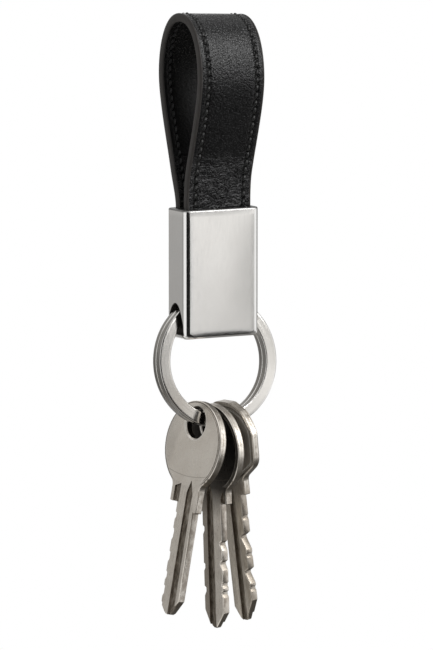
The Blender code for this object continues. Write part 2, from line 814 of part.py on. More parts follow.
def main():
    leather = material("black_leather", (0.016, 0.016, 0.017), 0.5, 0)
    lining = material("lining_leather", (0.02, 0.02, 0.021), 0.6, 0)
    filler = material("filler_board", (0.05, 0.045, 0.04), 0.8, 0)
    satin = material("satin_metal", (0.62, 0.62, 0.6), 0.22, 1)
    steel = material("pin_steel", (0.55, 0.55, 0.54), 0.3, 1)
    nickel = material("ring_nickel", (0.56, 0.54, 0.51), 0.25, 1)
    strap_layer("strap_leather", 0, LEATHER_THICKNESS, leather)
    lining_depth = LEATHER_THICKNESS + LAYER_GAP
    strap_layer("strap_lining", lining_depth, LINING_THICKNESS, lining)
    strap_filler(filler)
    metal_block(satin)
    strap_pins(steel)
    split_ring(nickel)
    for key in KEYS:
        worn = material(f"{key['name']}_nickel", (0.5, 0.47, 0.42), 0.34, 1)
        key_on_ring(key, worn)


main()
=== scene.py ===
import math
from types import SimpleNamespace

import bmesh
import bpy
import numpy as np
from mathutils import Matrix, Vector


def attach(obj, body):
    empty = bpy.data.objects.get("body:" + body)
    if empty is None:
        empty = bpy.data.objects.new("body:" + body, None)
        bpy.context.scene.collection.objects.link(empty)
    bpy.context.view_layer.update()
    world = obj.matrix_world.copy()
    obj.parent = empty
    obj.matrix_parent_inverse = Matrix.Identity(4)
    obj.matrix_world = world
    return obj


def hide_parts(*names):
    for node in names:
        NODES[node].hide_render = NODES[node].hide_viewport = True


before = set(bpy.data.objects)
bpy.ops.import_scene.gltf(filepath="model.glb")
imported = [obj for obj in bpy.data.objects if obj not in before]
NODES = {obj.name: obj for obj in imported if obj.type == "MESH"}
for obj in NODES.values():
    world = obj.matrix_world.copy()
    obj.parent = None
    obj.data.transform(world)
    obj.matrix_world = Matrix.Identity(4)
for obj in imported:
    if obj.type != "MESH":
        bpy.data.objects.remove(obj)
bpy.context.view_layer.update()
MM = 0.001
UV_SPAN = 130.0  # millimetres over one UV unit
UV_MIDDLE = 10.0  # the strap's middle line in its UVs, in millimetres

# Strap, in millimetres
STRAP_WIDTH = 17.8
STRAP_THICKNESS = 2.1
OUTER_THICKNESS = 1.04
LINING_DEPTH = 1.06
LEG_OUTER = 3.2
LOOP_RISE = 48.7
BULGE_RISE = 33.1
BULGE_HALF_DEPTH = 11.3
LOOP_LEAN = 0.87
LEAN_RISE = 9.2
LOOP_SKEW = 0.81
RUN_STEP = 0.3
STITCH_INSET = 2.1
STITCH_PITCH = 2.02
STITCH_ROW = STRAP_WIDTH / 2 - STITCH_INSET

# Block
BLOCK_WIDTH = 21.3
BLOCK_DEPTH = 9.7
BLOCK_HEIGHT = 32.3
BLOCK_TOP = STRAP_THICKNESS - LOOP_RISE
BLOCK_BOTTOM = BLOCK_TOP - BLOCK_HEIGHT
BLOCK_MIDDLE = (BLOCK_TOP + BLOCK_BOTTOM) / 2
POCKET_FLOOR = BLOCK_TOP - 12.0
POCKET_GAP = 0.3
LEG_END = POCKET_FLOOR + POCKET_GAP
TUNNEL_HALF_DEPTH = 4.0
MOUTH_HALF_DEPTH = 4.1
MOUTH_RISE = 8.8
MOUTH_SILL = 1.0
PIN_ACROSS = 4.5
PIN_DROP = 6.0
PIN_HOLE_RADIUS = 1.3

# Ring
RING_AXIS = BLOCK_BOTTOM - 6.25
RING_CENTRE = Vector((0, -0.98, RING_AXIS))
RING_TILT = math.radians(-6.4)
RING_MEAN = 15.05
WIRE_WIDTH = 3.1
WIRE_THICKNESS = 1.7
TURN_GAP = 0.43
RING_JOG = math.radians(34.0)

# Keys: the place on the ring and the lean of each, as angles
KEY_PLACES = {
    "key_front": (math.radians(-19.6), math.radians(10.4)),
    "key_middle": (math.radians(-4.9), math.radians(-1.9)),
    "key_rear": (math.radians(10.0), math.radians(-7.0)),
}
# Side of the cuts, distance down to the stop, and the faces that get painted shade from a
# neighbouring key as (face, share of painted shade)
KEY_FACTS = {
    "key_front": (-1, 14.6, ((-1, 0.93),)),
    "key_middle": (1, 13.7, ((1, 0.93), (-1, 0.93))),
    "key_rear": (1, 12.0, ((1, 0.6),)),
}
# How much painted shade the cut edge gets, and the colour of the painted shade on its slopes
KEY_EDGE_SHADE = {
    "key_front": (0.08, (0.34, 0.305, 0.26)),
    "key_middle": (0.25, (0.34, 0.305, 0.26)),
    "key_rear": (0.65, (0.15, 0.13, 0.105)),
}
KEY_YAW = math.radians(8.9)
KEY_HANG = 1.15
KEY_HOLE_RISE = 5.7
BOW_RADIUS = 11.25
SQUARE_BOW = ((0.0, 10.7), (3.4, 10.7), (7.9, 8.6), (10.6, 4.6), (10.3, -3.7), (4.5, -7.5))
FOOT_CENTRE = 26.0
FOOT_RADIUS = 34.6
PAD_LINE = 0.35
# Painted shade between the keys fades in above this height, and a share above the next number
# makes it near black
SHADE_ABOVE = -18.0
HEAVY_SHADE = 0.9
FACING_FRONT = Matrix(((1, 0, 0, 0), (0, 0, -1, 0), (0, 1, 0, 0), (0, 0, 0, 1)))

# Studio
CAMERA_AZIMUTH = -28.4
CAMERA_ELEVATION = 7.3
FLOOR_RISE = -400.0
CARD_CENTRE = -70.0
NEAR_CARD_DISTANCE = 450.0


# Mesh helpers
def linked(name, data):
    """A new object in the scene."""
    item = bpy.data.objects.new(name, data)
    bpy.context.scene.collection.objects.link(item)
    return item


def full_turn(steps):
    return np.linspace(0, 2 * math.pi, steps, endpoint=False)


def add_mesh(name, points, faces, mm_uvs=None, matrix=None):
    """A smooth mesh from points in millimetres, with UVs in millimetres over UV_SPAN."""
    mesh = bpy.data.meshes.new(name)
    mesh.from_pydata((np.asarray(points, float) * MM).tolist(), [], faces)
    if mm_uvs is not None:
        index = np.empty(len(mesh.loops), int)
        mesh.loops.foreach_get("vertex_index", index)
        layer = mesh.uv_layers.new(name="UVMap")
        uvs = np.asarray(mm_uvs, float) / UV_SPAN
        layer.data.foreach_set("uv", uvs[index].ravel())
    mesh.shade_smooth()
    item = linked(name, mesh)
    if matrix is not None:
        item.matrix_world = matrix
    return item


def sweep_faces(rows, columns, offset=0, looped=False):
    """Quads between neighbouring closed sections, with end caps unless the rows loop."""
    faces = []
    for i in range(rows if looped else rows - 1):
        a = offset + i * columns
        b = offset + (i + 1) % rows * columns
        for j in range(columns):
            k = (j + 1) % columns
            faces.append((a + j, b + j, b + k, a + k))
    if not looped:
        last = offset + (rows - 1) * columns
        faces.append(tuple(offset + j for j in range(columns)))
        faces.append(tuple(last + j for j in reversed(range(columns))))
    return faces


def dressed(item, body, slot, material, *nodes):
    """Gives a piece its material and body, and hides the CAD nodes that it stands for. The slot
    is not used.
    """
    item.data.materials.append(material)
    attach(item, body)
    if nodes:
        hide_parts(*nodes)


def outward(item):
    """Turns all faces of a closed mesh outward."""
    shape = bmesh.new()
    shape.from_mesh(item.data)
    bmesh.ops.recalc_face_normals(shape, faces=shape.faces)
    shape.to_mesh(item.data)
    shape.free()
    return item


# Material helpers
def new_material(name):
    made = bpy.data.materials.new(name)
    made.use_nodes = True
    return made, made.node_tree, made.node_tree.nodes["Principled BSDF"]


def set_inputs(tree, made, inputs):
    """Links the sockets and sets the plain values on a node's inputs."""
    for key, value in inputs.items():
        if isinstance(value, bpy.types.NodeSocket):
            tree.links.new(value, made.inputs[key])
        else:
            made.inputs[key].default_value = value


def node(tree, kind, inputs=None, **settings):
    made = tree.nodes.new("ShaderNode" + kind)
    for key, value in settings.items():
        setattr(made, key, value)
    set_inputs(tree, made, inputs or {})
    return made


def math_node(tree, operation, *values):
    return node(tree, "Math", dict(enumerate(values)), operation=operation).outputs[0]


def product(tree, result, *others):
    """The values multiplied together."""
    for other in others:
        result = math_node(tree, "MULTIPLY", result, other)
    return result


def weighted(tree, *pairs):
    """The sum of (value, weight) pairs."""
    total = None
    for value, weight in pairs:
        part = math_node(tree, "MULTIPLY", value, weight)
        total = part if total is None else math_node(tree, "ADD", total, part)
    return total


def rest_of(tree, share):
    return math_node(tree, "SUBTRACT", 1.0, share)


def from_line(tree, value, line):
    """The distance of a coordinate from a line."""
    return math_node(tree, "ABSOLUTE", math_node(tree, "SUBTRACT", value, float(line)))


def map_range(tree, value, low, high, start=0.0, end=1.0):
    """A level that goes from start to end while the value goes from low to high."""
    inputs = {0: value, 1: low, 2: high, 3: start, 4: end}
    return node(tree, "MapRange", inputs).outputs[0]


def band(tree, value, middle, reach):
    """1 within the reach of a line and 0 beyond twice the reach."""
    return map_range(tree, from_line(tree, value, middle), reach, 2 * reach, 1.0, 0.0)


def ramp(tree, value, *stops):
    """A colour ramp through (place, colour) stops."""
    made = node(tree, "ValToRGB", {0: value})
    elements = made.color_ramp.elements
    while len(elements) < len(stops):
        elements.new(0.5)
    for element, (place, colour) in zip(elements, stops):
        element.position = place
        if not isinstance(colour, tuple):
            colour = (colour,) * 3
        element.color = (*colour, 1)
    return made.outputs[0]


def noise(tree, vector, scale, detail=3.0, roughness=0.55):
    inputs = {"Vector": vector, "Scale": scale, "Detail": detail, "Roughness": roughness}
    return node(tree, "TexNoise", inputs).outputs["Fac"]


def cells(tree, vector, scale, feature="F1"):
    inputs = {"Vector": vector, "Scale": scale}
    return node(tree, "TexVoronoi", inputs, feature=feature).outputs["Distance"]


def vector_node(tree, operation, *values):
    return node(tree, "VectorMath", dict(enumerate(values)), operation=operation).outputs


def stretched(tree, vector, *scales):
    return vector_node(tree, "MULTIPLY", vector, tuple(scales))[0]


def streaks(tree, vector, scales, detail=3.0, roughness=0.55):
    """Noise that is drawn out along the axes with the smaller scales."""
    return noise(tree, stretched(tree, vector, *scales), 1.0, detail, roughness)


def axes_of(tree, vector):
    return node(tree, "SeparateXYZ", {0: vector}).outputs


def uv_mm(tree):
    """UV coordinates in millimetres."""
    uv = node(tree, "TexCoord").outputs["UV"]
    return stretched(tree, uv, UV_SPAN, UV_SPAN, UV_SPAN)


def object_mm(tree):
    """The piece's own coordinates in millimetres."""
    own = node(tree, "TexCoord").outputs["Object"]
    return stretched(tree, own, 1 / MM, 1 / MM, 1 / MM)


def mixed(tree, factor, one, other):
    """A blend of two colours, each a socket or an RGB tuple."""
    made = node(tree, "Mix", {0: factor}, data_type="RGBA")
    colours = {6: one, 7: other}
    rgba = {key: (*c, 1) if isinstance(c, tuple) else c for key, c in colours.items()}
    set_inputs(tree, made, rgba)
    return made.outputs[2]


def graded(tree, value, low, high, one, other):
    """One colour up to low, the other from high on, and a blend between them."""
    return mixed(tree, ramp(tree, value, (low, 0.0), (high, 1.0)), one, other)


def overlaid(tree, tone, colour, *shares):
    """Mixes a colour in by the product of the shares."""
    return mixed(tree, product(tree, *shares), tone, colour)


def lighter(colour, factor):
    return tuple(factor * level for level in colour)


def finish(tree, shader, colour, roughness, metallic=0.0, specular=0.5):
    """The shader's main levels, each a plain value or a socket."""
    inputs = {"Base Color": colour, "Roughness": roughness, "Metallic": metallic}
    set_inputs(tree, shader, {**inputs, "Specular IOR Level": specular})


def bump(tree, shader, height, distance_mm, strength=1.0, after=None):
    """A relief, on top of an earlier one if there is one."""
    inputs = {"Height": height, "Distance": distance_mm * MM, "Strength": strength}
    if after is not None:
        inputs["Normal"] = after
    made = node(tree, "Bump", inputs)
    tree.links.new(made.outputs[0], shader.inputs["Normal"])
    return made.outputs[0]


# Camera and studio
def direction(azimuth, elevation):
    """The unit vector from the part to a place around it. Azimuth 0 is straight in front."""
    a, e = math.radians(azimuth), math.radians(elevation)
    return Vector((math.sin(a) * math.cos(e), -math.cos(a) * math.cos(e), math.sin(e)))


def aimed(name, data, target, back, distance):
    """A camera or lamp that looks at its target from a distance, in metres."""
    item = linked(name, data)
    item.location = target + back * distance
    item.rotation_euler = back.to_track_quat("Z", "Y").to_euler()
    return item


def camera():
    data = bpy.data.cameras.new("camera")
    data.sensor_fit = "VERTICAL"
    data.sensor_height = 24.0
    data.lens = 228.9
    data.clip_start = 0.05
    data.clip_end = 60
    target = Vector((0.97, 0, BLOCK_BOTTOM + 2.6)) * MM
    back = direction(CAMERA_AZIMUTH, CAMERA_ELEVATION)
    bpy.context.scene.camera = aimed("camera", data, target, back, 1.55)


def seen_directly(tree):
    """1 for rays that show the background: camera, glossy and transmission rays."""
    path = node(tree, "LightPath").outputs
    glossy = math_node(tree, "MAXIMUM", path["Is Camera Ray"], path["Is Glossy Ray"])
    return math_node(tree, "MAXIMUM", glossy, path["Is Transmission Ray"])


def studio_world():
    world = bpy.data.worlds.new("studio")
    bpy.context.scene.world = world
    world.use_nodes = True
    tree = world.node_tree
    background = tree.nodes["Background"]
    background.inputs["Color"].default_value = (1, 1, 1, 1)
    level = map_range(tree, seen_directly(tree), 0.0, 1.0, 0.62, 1.0)
    tree.links.new(level, background.inputs["Strength"])


def studio_floor():
    """A pale floor well below the part. It fades into the white background far away."""
    radius, steps = 6000.0, 96
    rim = [
        (radius * math.cos(a), radius * math.sin(a), FLOOR_RISE)
        for a in full_turn(steps)
    ]
    item = add_mesh("studio_floor", rim, [tuple(range(steps))])
    made, tree, shader = new_material("studio_floor")
    place = node(tree, "NewGeometry").outputs["Position"]
    far = map_range(tree, vector_node(tree, "LENGTH", place)["Value"], 0.55, 1.15)
    finish(tree, shader, (0.93, 0.93, 0.92, 1), 0.7)
    glow = node(tree, "Emission", {"Color": (1, 1, 1, 1), "Strength": 1.0})
    share = product(tree, seen_directly(tree), far)
    blend = node(tree, "MixShader", {0: share, 1: shader.outputs[0], 2: glow.outputs[0]})
    set_inputs(tree, tree.nodes["Material Output"], {"Surface": blend.outputs[0]})
    item.data.materials.append(made)


def area_light(name, azimuth, elevation, distance, size, radiance, in_gloss):
    """A soft lamp that faces the part. The radiance is what a mirror would show of it."""
    data = bpy.data.lights.new(name, "AREA")
    data.shape = "RECTANGLE"
    data.size, data.size_y = size
    data.energy = radiance * math.pi * size[0] * size[1]
    middle = Vector((0, 0, -0.06))
    item = aimed(name, data, middle, direction(azimuth, elevation), distance)
    item.visible_glossy = in_gloss


def gloss_only(item, across, along):
    """Makes a glowing card that only shows in gloss, with ramps across and along it."""
    made, tree, _ = new_material(item.name)
    split = axes_of(tree, node(tree, "TexCoord").outputs["UV"])
    level = product(tree, ramp(tree, split[0], *across), ramp(tree, split[1], *along))
    glow = node(tree, "Emission", {"Color": (1, 0.985, 0.96, 1), "Strength": level})
    set_inputs(tree, tree.nodes["Material Output"], {"Surface": glow.outputs[0]})
    item.data.materials.append(made)
    for ray in ("camera", "diffuse", "shadow", "transmission", "volume_scatter"):
        setattr(item, "visible_" + ray, False)


def card(name, azimuths, elevations, across, along, radius=620.0):
    """A curved card or flag round the part, with a level across and along it."""
    columns, rows = 24, 12
    points, uvs = [], []
    for i in range(rows + 1):
        e = math.radians(np.interp(i / rows, (0, 1), elevations))
        for j in range(columns + 1):
            a = math.radians(np.interp(j / columns, (0, 1), azimuths))
            x, y = math.cos(e) * math.sin(a), -math.cos(e) * math.cos(a)
            points.append((radius * x, radius * y, radius * math.sin(e) + CARD_CENTRE))
            uvs.append((UV_SPAN * j / columns, UV_SPAN * i / rows))
    faces = []
    for i in range(rows):
        for j in range(columns):
            k = i * (columns + 1) + j
            faces.append((k, k + 1, k + columns + 2, k + columns + 1))
    gloss_only(add_mesh(name, points, faces, uvs), across, along)


def flat_card(name, points, across, along):
    """A flat card between its four corners."""
    uvs = [(0, 0), (UV_SPAN, 0), (0, UV_SPAN), (UV_SPAN, UV_SPAN)]
    gloss_only(add_mesh(name, points, [(0, 1, 3, 2)], uvs), across, along)


def near_card(name, across, along, level_across, level_along):
    """A flat card in front of the block, where its face is mirrored to the camera."""
    away = direction(-CAMERA_AZIMUTH, -6.8)
    a = math.radians(-CAMERA_AZIMUTH)
    right = Vector((math.cos(a), math.sin(a), 0))
    up = right.cross(away) * -1
    middle = Vector((0, -BLOCK_DEPTH / 2, BLOCK_MIDDLE)) + away * NEAR_CARD_DISTANCE
    points = [middle + right * u + up * v for v in along for u in across]
    flat_card(name, points, level_across, level_along)


def flag_below():
    """A flag just above the floor, darker in front, for what faces down."""
    z = FLOOR_RISE + 4.0
    points = [(x, y, z) for y in (-520.0, 420.0) for x in (-450.0, 520.0)]
    across = ((0.0, 2.6), (0.4, 2.6), (0.5, 1.0), (1.0, 1.0))
    along = ((0.0, 0.02), (0.15, 0.03), (0.3, 0.24), (1.0, 0.38))
    flat_card("flag_below", points, across, along)


def even(level):
    """A card's level that doesn't change across it."""
    return (0.0, level), (1.0, level)


def studio():
    studio_world()
    studio_floor()
    area_light("lamp_above", 26, 29, 1.1, (0.5, 0.9), 9.0, True)
    area_light("lamp_left", -75, 18, 1.2, (0.5, 0.8), 1.2, False)
    area_light("lamp_right", 70, 25, 1.2, (0.4, 0.8), 1.2, False)
    card(
        "card_left_back",
        (-178, -98),
        (-60, 60),
        ((0.0, 0.42), (0.6, 0.4), (0.9, 0.3), (1.0, 0.25)),
        ((0.0, 0.8), (0.46, 1.0), (0.58, 1.6), (0.75, 1.7), (1.0, 1.4)),
    )
    card("flag_front", (-44, 21), (-62, 34), even(0.012), even(1.0), 600.0)
    low = ((0.0, 0.2), (0.3, 0.02), (1.0, 0.02))
    card("flag_low", (4, 39), (-62, -12.5), even(1.0), low, 600.0)
    flag_below()
    card("flag_low_right", (39, 95), (-60, -20), even(0.3), even(1.0), 600.0)
    card("flag_right_back", (84, 150), (-14, 40), ((0.0, 0.3), (1.0, 0.16)), even(1.0), 610.0)
    near_card(
        "card_block",
        (-40, 62),
        (-46, 34),
        ((0.0, 0.98), (0.4, 1.02), (0.48, 0.94), (0.6, 0.69), (0.72, 0.56), (1.0, 0.5)),
        ((0.13, 0.75), (0.54, 0.88), (0.92, 1.06)),
    )
    near_card(
        "card_ring",
        (-95, 95),
        (34, 125),
        ((0.0, 0.45), (0.36, 0.52), (0.64, 0.88), (1.0, 0.95)),
        ((0.0, 1.3), (0.1, 1.2), (0.24, 1.0), (0.45, 0.75), (0.7, 0.6)),
    )


# Strap
def bezier(a, b, c, d, count):
    """Points along a cubic curve."""
    t = np.linspace(0, 1, count + 1)[:, None]
    a, b, c, d = (np.array(p, float) for p in (a, b, c, d))
    return a * (1 - t) ** 3 + 3 * b * t * (1 - t) ** 2 + 3 * c * t**2 * (1 - t) + d * t**3


def loop_path(step):
    """The loop's outer face from the side: runs, places and inward directions."""
    bulge_z = BLOCK_TOP + BULGE_RISE
    upper = LOOP_RISE - BULGE_RISE
    half = BULGE_HALF_DEPTH
    leg = np.array([(LEG_OUTER, LEG_END), (LEG_OUTER, BLOCK_TOP)])
    low = bezier(
        (LEG_OUTER, BLOCK_TOP),
        (LEG_OUTER, BLOCK_TOP + BULGE_RISE * 0.25),
        (half, bulge_z - BULGE_RISE * 0.28),
        (half, bulge_z),
        120,
    )
    high = bezier(
        (half, bulge_z),
        (half, bulge_z + upper * 0.5),
        (half * 0.68, STRAP_THICKNESS),
        (0, STRAP_THICKNESS),
        120,
    )
    back = np.vstack([leg, low[1:], high[1:]])
    front = back * (-1, 1)
    line = np.vstack([front, back[-2::-1]])
    share = np.clip((line[:, 1] - BLOCK_TOP) / LEAN_RISE, 0, 1)
    line[:, 0] += LOOP_LEAN * share**2 * (3 - 2 * share)
    lengths = np.hypot(*np.diff(line, axis=0).T)
    run = np.concatenate([[0], np.cumsum(lengths)])
    count = round(run[-1] / step)
    runs = np.linspace(0, run[-1], count + 1)
    places = np.stack([np.interp(runs, run, line[:, k]) for k in (0, 1)], axis=1)
    along = np.gradient(places, axis=0)
    along /= np.linalg.norm(along, axis=1)[:, None]
    inward = np.stack([along[:, 1], -along[:, 0]], axis=1)
    return runs, places, inward


RUNS, PLACES, INWARD = loop_path(RUN_STEP)
LEG_RUN = BLOCK_TOP - LEG_END
CROWN_RUN = RUNS[-1] / 2


def on_strap(across, run, depth):
    """A place on the strap from its distance across, run along the loop and depth."""
    across, run, depth = np.broadcast_arrays(across, run, depth)
    y = np.interp(run, RUNS, PLACES[:, 0]) + depth * np.interp(run, RUNS, INWARD[:, 0])
    z = np.interp(run, RUNS, PLACES[:, 1]) + depth * np.interp(run, RUNS, INWARD[:, 1])
    height = np.clip(z - BLOCK_TOP, 0, None) / LOOP_RISE
    z = z - LOOP_SKEW * (across / STRAP_WIDTH + 0.5) * height**2
    return np.stack([across, y, z], axis=-1)


def stitch_wave(run):
    """1 at the needle holes and 0 in the middle of each stitch."""
    phase = ((run - CROWN_RUN) / STITCH_PITCH + 0.5) % 1.0
    from_hole = np.minimum(phase, 1 - phase) * STITCH_PITCH
    return np.exp(-((from_hole / 0.4) ** 2))


def groove(across, run):
    """The depth of the pressed stitch line, deepest at the needle holes."""
    across_share = np.exp(-(((np.abs(across) - STITCH_ROW) / 0.5) ** 2))
    return across_share * (0.2 + 0.3 * stitch_wave(run))


def along_strap(name, across, depth, girth):
    """A closed section swept along the whole strap."""
    runs = RUNS[:, None]
    points = on_strap(across[None, :], runs, depth)
    uvs = np.stack(np.broadcast_arrays(girth[None, :], runs), axis=-1)
    faces = sweep_faces(len(RUNS), len(across))
    return outward(add_mesh(name, points.reshape(-1, 3), faces, uvs.reshape(-1, 2)))


def strap_sheet(name, near, far, outer_face):
    """One leather layer, with its stitch line pressed into the face that shows."""
    half = STRAP_WIDTH / 2 - 0.12
    thickness = far - near
    middle = np.linspace(-STITCH_ROW + 1.0, STITCH_ROW - 1.0, 13)[1:-1]
    around_row = np.array([-1.0, -0.7, -0.45, -0.25, 0, 0.25, 0.45, 0.7])
    right = np.concatenate([STITCH_ROW + around_row, STITCH_ROW - around_row])
    right = np.unique(np.round(right, 4))
    face = np.unique(np.round(np.concatenate([-right[::-1], middle, right]), 4))
    edge = [(half - 0.3, 0.0), (half - 0.1, 0.05), (half, 0.2)]
    section = [(-u, d) for u, d in edge[::-1]]
    section += [(u, 0.0) for u in face]
    section += edge
    section += [(half, thickness - 0.1)]
    section += [(u, thickness) for u in np.linspace(half - 0.1, -half + 0.1, 9)]
    section += [(-half, thickness - 0.1)]
    across, into = np.array(section).T
    showing = into < 0.3
    pressed = groove(across[None, :], RUNS[:, None]) * showing[None, :]
    past_row = np.clip((np.abs(across) - STITCH_ROW) / STITCH_INSET, 0, 1)
    lowered = 0.1 * past_row**2 * showing
    depth = into[None, :] + pressed + lowered[None, :]
    depth = near + depth if outer_face else far - depth
    return along_strap(name, across, depth, across + UV_MIDDLE)


def strap_edge(name, side):
    """The painted and polished edge that closes over both layers."""
    half = STRAP_WIDTH / 2
    rounding = [
        (-0.42, 0.06),
        (-0.3, 0.0),
        (-0.18, -0.02),
        (-0.06, 0.03),
        (0.03, 0.16),
        (0.08, 0.36),
        (0.1, 0.7),
    ]
    section = [(half + out, depth) for out, depth in rounding]
    section += [(half + out, STRAP_THICKNESS - depth) for out, depth in rounding[::-1]]
    across, depth = np.array(section).T
    return along_strap(name, side * across, depth[None, :], np.arange(len(section)) * 0.3)


def stitch_row(name, side, outer_face):
    """One row of separate thread stitches that dive into their holes at both ends."""
    row = side * STITCH_ROW
    slant, radius, height = (0.26, 0.4, 0.3) if outer_face else (-0.2, 0.29, 0.24)
    count = int((CROWN_RUN - LEG_RUN) / STITCH_PITCH) + 2
    t = np.array([-1, -0.93, -0.8, -0.6, -0.3, 0, 0.3, 0.6, 0.8, 0.93, 1])
    turn = full_turn(10)
    girth = np.sqrt(np.clip(1 - np.abs(t) ** 5, 0.02, 1))
    points, faces, uvs = [], [], []
    for k in range(-count, count + 1):
        middle = CROWN_RUN + k * STITCH_PITCH
        run = middle + t * STITCH_PITCH * 0.46
        rise = 0.5 * np.abs(t) ** 2.5 + 0.05
        across = row + slant * t
        wide = across[:, None] + radius * girth[:, None] * np.cos(turn)
        deep = rise[:, None] + height * girth[:, None] * np.sin(turn)
        depth = deep if outer_face else STRAP_THICKNESS - deep
        place = on_strap(wide, run[:, None], depth)
        faces += sweep_faces(len(t), len(turn), len(points))
        points += place.reshape(-1, 3).tolist()
        around = np.broadcast_to(turn * 0.3, wide.shape)
        uv = np.stack([around, np.broadcast_to(run[:, None], wide.shape)], axis=-1)
        uvs += uv.reshape(-1, 2).tolist()
    return outward(add_mesh(name, points, faces, uvs))


def leather_material(name, dark, light, roughness, specular, grain_mm):
    """Fine grained leather with creases, worn edges and wrinkles where the loop is pinched, with
    painted shade along the stitch lines and painted highlights on the wrinkle ridges and at the
    lit crown.
    """
    made, tree, shader = new_material(name)
    place = uv_mm(tree)
    split = axes_of(tree, place)
    warp = noise(tree, place, 0.5, 2.0)
    shifted = vector_node(tree, "ADD", place, warp)[0]

    # Where the leather is worn, pressed and painted with shade along the stitch lines, pinched
    # above the block and lit at the crown
    from_middle = from_line(tree, split[0], UV_MIDDLE)
    from_crown = from_line(tree, split[1], CROWN_RUN)
    worn = map_range(tree, from_middle, 8.1, 8.8)
    pressed = map_range(tree, from_line(tree, from_middle, STITCH_ROW), 0.35, 0.75, 1.0, 0.0)
    block_line = CROWN_RUN - LEG_RUN
    pinch = map_range(tree, from_crown, block_line - 15.0, block_line - 6.0, 0.04)
    top = map_range(tree, from_crown, 14.0, 26.0, 1.0, 0.22)

    mottled = noise(tree, place, 1.1, 3.0, 0.6)
    broad = noise(tree, place, 0.12, 2.0)
    shade = weighted(tree, (mottled, 0.6), (broad, 0.4))
    colour = graded(tree, shade, 0.35, 0.7, dark, light)
    colour = overlaid(tree, colour, lighter(light, 2.6), worn, 0.6)
    # Painted shade: darker along the stitch lines, for the shade in the stitch groove over the
    # pressed leather
    colour = overlaid(tree, colour, (0.0012, 0.0012, 0.0012), pressed, 0.8)
    folds = streaks(tree, shifted, (0.34, 1.05, 1.0), 2.0, 0.6)
    # Painted highlight: light lines along the wrinkle ridges where the loop is pinched
    ridge_glint = map_range(tree, from_line(tree, folds, 0.56), 0.01, 0.035, 1.0, 0.0)
    ridge_glint = product(tree, ridge_glint, pinch, rest_of(tree, pressed), 0.9)
    colour = overlaid(tree, colour, lighter(light, 11), ridge_glint)
    # Painted highlight: light sparkle specks, strongest at the lit crown and weaker where the
    # loop is pinched
    sparkle_grains = noise(tree, place, 2.8, 1.0)
    sparkle_zone = math_node(tree, "MAXIMUM", top, product(tree, pinch, 0.6))
    specks = product(tree, ramp(tree, sparkle_grains, (0.56, 0.0), (0.68, 0.8)), sparkle_zone)
    colour = overlaid(tree, colour, lighter(light, 18), specks)
    rough = map_range(tree, mottled, 0.3, 0.7, roughness - 0.06, roughness + 0.07)
    finish(tree, shader, colour, rough, specular=specular)

    pebble = cells(tree, shifted, 1 / grain_mm)
    pits = cells(tree, shifted, 0.6 / grain_mm, "DISTANCE_TO_EDGE")
    pits = ramp(tree, pits, (0.0, 0.0), (0.22, 1.0))
    fine = noise(tree, place, 1.9, 3.0)
    first = bump(tree, shader, weighted(tree, (pebble, 0.06), (fine, 0.1), (pits, 0.018)), 1.0)
    crease = product(tree, from_line(tree, folds, 0.5), 5.0)
    crease = product(tree, ramp(tree, crease, (0.0, 0.0), (0.4, 0.7), (1.0, 1.0)), pinch)
    bump(tree, shader, crease, 0.36, 1.0, first)
    return made


def edge_material():
    """Edge paint: smooth, dark brown grey and faintly streaked along the strap."""
    made, tree, shader = new_material("edge_paint")
    place = uv_mm(tree)
    streak = streaks(tree, place, (3.0, 0.35, 1.0))
    colour = ramp(tree, streak, (0.3, (0.009, 0.0078, 0.007)), (0.75, (0.026, 0.0225, 0.02)))
    rough = map_range(tree, streak, 0.0, 1.0, 0.36, 0.52)
    finish(tree, shader, colour, rough, specular=0.3)
    bump(tree, shader, streaks(tree, place, (2.0, 0.8, 1.0)), 0.05, 0.6)
    return made


def thread_material():
    """Waxed black thread with the twist of its strands."""
    made, tree, shader = new_material("waxed_thread")
    place = uv_mm(tree)
    split = axes_of(tree, place)
    twist = math_node(tree, "SINE", weighted(tree, (split[0], 6.6), (split[1], 14.0)))
    fibre = noise(tree, place, 6.0, 2.0)
    colour = ramp(tree, fibre, (0.3, (0.002, 0.002, 0.002)), (0.8, (0.013, 0.013, 0.0125)))
    finish(tree, shader, colour, 0.3, specular=0.3)
    bump(tree, shader, weighted(tree, (twist, 1.0), (fibre, 0.8)), 0.014)
    return made


def strap():
    outer_colours = (0.0018, 0.0018, 0.0019), (0.0045, 0.0045, 0.0046)
    inner_colours = (0.0012, 0.0012, 0.0012), (0.003, 0.0029, 0.0028)
    leather = leather_material("black_leather", *outer_colours, 0.2, 0.19, 0.45)
    lining = leather_material("lining_leather", *inner_colours, 0.4, 0.09, 0.7)
    paint = edge_material()
    thread = thread_material()
    outer = strap_sheet("strap_outer", 0.0, OUTER_THICKNESS, True)
    dressed(outer, "fob", "leather", leather, "strap_leather")
    inner = strap_sheet("strap_inner", LINING_DEPTH, STRAP_THICKNESS, False)
    dressed(inner, "fob", "lining", lining, "strap_lining")
    for side, word in ((-1, "left"), (1, "right")):
        dressed(strap_edge(f"strap_edge_{word}", side), "fob", "leather", paint)
        for outer_face, face in ((True, "outer"), (False, "inner")):
            row = stitch_row(f"stitches_{face}_{word}", side, outer_face)
            dressed(row, "fob", "leather" if outer_face else "lining", thread)


# Block
def rounded_outline(half_width, half_depth, radius, steps, side_steps):
    """A rounded rectangle of (x, y), the same count of points at any inset."""
    points = []
    corners = ((1, 1), (-1, 1), (-1, -1), (1, -1))

    def on_corner(quarter, turns):
        sx, sy = corners[quarter % 4]
        a = math.pi / 2 * turns
        x = sx * (half_width - radius) + radius * math.cos(a)
        return x, sy * (half_depth - radius) + radius * math.sin(a)

    for quarter in range(4):
        points += [on_corner(quarter, quarter + step / steps) for step in range(steps + 1)]
        start, end = points[-1], on_corner(quarter + 1, quarter + 1)
        for step in range(1, side_steps):
            share = step / side_steps
            points.append(tuple(a + (b - a) * share for a, b in zip(start, end)))
    return points


